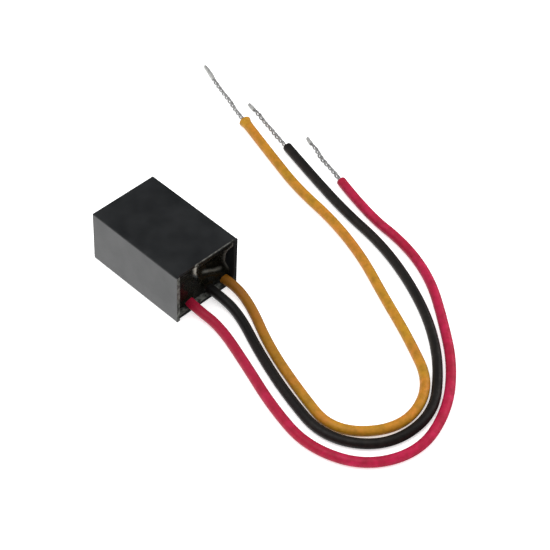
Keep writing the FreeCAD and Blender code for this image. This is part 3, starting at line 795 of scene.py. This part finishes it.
def cast_epoxy():
    """Black-filled epoxy: glossy where it set free, with brown and olive where its filler sank,
    and a pale painted highlight along its lip, crest and far wall."""
    material = new_material("black_cast_epoxy")
    place = add_node(material, "ShaderNodeTexCoord", {}, {}).outputs["Object"]
    settled, ripples = (
        add_node(material, "ShaderNodeTexNoise",
                 {"Scale": 1 / (size * MM), "Detail": detail, "Roughness": rough},
                 {"Vector": place}).outputs["Fac"]
        for size, detail, rough in ((3.5, 4, 0.6), (1.8, 3, 0.5)))
    share = add_node(material, "ShaderNodeMapRange", {"From Min": 0.3, "From Max": 0.7},
                     {"Value": settled})
    body = add_node(material, "ShaderNodeMix",
                    {"data_type": "RGBA", 6: linear("#060705"), 7: linear("#121009")},
                    {0: share.outputs["Result"]})
    resin_highlight = add_node(material, "ShaderNodeAttribute", {"attribute_name": "resin_highlight"}, {})
    # The pale colour is a painted highlight, laid on where the mesh marks it.
    colour = add_node(material, "ShaderNodeMix", {"data_type": "RGBA", 7: linear("#9a978e")},
                      {0: resin_highlight.outputs["Fac"], 6: body.outputs[2]})
    gloss = add_node(material, "ShaderNodeMapRange",
                     {"From Min": 0.3, "From Max": 0.7, "To Min": 0.2, "To Max": 0.3},
                     {"Value": settled})
    return surface(material, colour.outputs[2], gloss.outputs["Result"], ripples, 0.012,
                   {"IOR": 1.5, "Specular IOR Level": 0.25})


make_piece("resin", resin_mesh(), cast_epoxy(), "resin", "potting_resin")


# ---------------------------------------------------------------- where it stands
# A pale table top, soft light from above and from the right, and the place it is seen from.
# Glossy faces mirror a sky that is bright on one side and dim elsewhere.
TABLE_HALF = 3
TABLE_GLOW = 0.46
BRIGHT_SIDE = (-0.55, 0.6, -0.58)
DIM_SKY = 0.05
BRIGHT_SKY = 1.75
LIGHTING_SKY = 0.8
SEEN_SKY = 1.1
VIEW_AZIMUTH = math.radians(-47.2655)
VIEW_ELEVATION = math.radians(46.0288)
VIEW_ROLL = math.radians(3.0788)
VIEW_DISTANCE = 507.69 * MM
VIEW_TARGET = Vector((20.735, -22.188, 0)) * MM
VIEW_LENS = 120.504
VIEW_SENSOR = 36


def pale_table():
    """White card with a glow of its own, so that the soft shadows on it stay faint."""
    material = new_material("pale_table")
    card = add_node(material, "ShaderNodeBsdfDiffuse", {"Color": linear("#f5f5f5")}, {})
    glow = add_node(material, "ShaderNodeEmission",
                    {"Color": linear("#ffffff"), "Strength": TABLE_GLOW}, {})
    both = add_node(material, "ShaderNodeAddShader", {}, {0: card.outputs[0], 1: glow.outputs[0]})
    add_node(material, "ShaderNodeOutputMaterial", {}, {"Surface": both.outputs[0]})
    return material


form = bmesh.new()
bmesh.ops.create_grid(form, x_segments=1, y_segments=1, size=TABLE_HALF)
bmesh.ops.translate(form, vec=(0, 0, -NEAR), verts=form.verts)
mesh = bpy.data.meshes.new("table")
form.to_mesh(mesh)
form.free()
mesh.materials.append(pale_table())
table = bpy.data.objects.new("table", mesh)
bpy.context.collection.objects.link(table)
table.visible_glossy = False

world = bpy.data.worlds.new("studio")
bpy.context.scene.world = world
world.use_nodes = True
world.node_tree.nodes.clear()
direction = add_node(world, "ShaderNodeTexCoord", {}, {})
facing = add_node(world, "ShaderNodeVectorMath", {"operation": "DOT_PRODUCT", 1: BRIGHT_SIDE},
                  {0: direction.outputs["Generated"]})
mirrored_sky = add_node(world, "ShaderNodeMapRange",
                        {"From Min": 0.1, "From Max": 0.9, "To Min": DIM_SKY,
                         "To Max": BRIGHT_SKY, "interpolation_type": "SMOOTHSTEP"},
                        {"Value": facing.outputs["Value"]})
ray = add_node(world, "ShaderNodeLightPath", {}, {})
strength = add_node(world, "ShaderNodeMix", {"data_type": "FLOAT", 2: LIGHTING_SKY},
                    {0: ray.outputs["Is Glossy Ray"], 3: mirrored_sky.outputs["Result"]})
backdrop = add_node(world, "ShaderNodeMix", {"data_type": "FLOAT", 3: SEEN_SKY},
                    {0: ray.outputs["Is Camera Ray"], 2: strength.outputs[0]})
sky = add_node(world, "ShaderNodeBackground", {"Color": linear("#ffffff")},
               {"Strength": backdrop.outputs[0]})
add_node(world, "ShaderNodeOutputWorld", {}, {"Surface": sky.outputs["Background"]})


def softbox(name, place, aim, width, power, mirrored):
    """A round lamp turned to a spot, which glossy faces may or may not mirror."""
    lamp = bpy.data.lights.new(name, "AREA")
    lamp.shape = "DISK"
    lamp.size = width
    lamp.energy = power
    holder = bpy.data.objects.new(name, lamp)
    bpy.context.collection.objects.link(holder)
    holder.location = place
    holder.rotation_mode = "QUATERNION"
    holder.rotation_quaternion = (Vector(aim) - Vector(place)).to_track_quat("-Z", "Y")
    holder.visible_glossy = mirrored


softbox("overhead", place=(-0.25, 0.1, 1.1), aim=(0.02, -0.02, 0),
        width=1.0, power=7.0, mirrored=True)
softbox("right", place=(0.9, -0.15, 0.5), aim=(0.04, 0.0, 0),
        width=0.8, power=3.0, mirrored=True)
softbox("right_front", place=(0.72, -0.64, 0.32), aim=(0.0, -0.016, 0.01),
        width=0.6, power=1.6, mirrored=False)

seen_from = Vector((
    math.sin(VIEW_AZIMUTH) * math.cos(VIEW_ELEVATION),
    -math.cos(VIEW_AZIMUTH) * math.cos(VIEW_ELEVATION),
    math.sin(VIEW_ELEVATION),
))
right = (-seen_from).cross(Vector((0, 0, 1))).normalized()
right = Matrix.Rotation(-VIEW_ROLL, 3, -seen_from) @ right
up = seen_from.cross(right)
camera = bpy.data.objects.new("camera", bpy.data.cameras.new("camera"))
bpy.context.collection.objects.link(camera)
camera.data.sensor_width = VIEW_SENSOR
camera.data.lens = VIEW_LENS
camera.data.clip_start = 0.01
camera.data.clip_end = 20
camera.matrix_world = Matrix.Translation(VIEW_TARGET + seen_from * VIEW_DISTANCE) @ Matrix(
    (right, up, seen_from)).transposed().to_4x4()
bpy.context.scene.camera = camera
bpy.context.scene.view_settings.view_transform = "Standard"
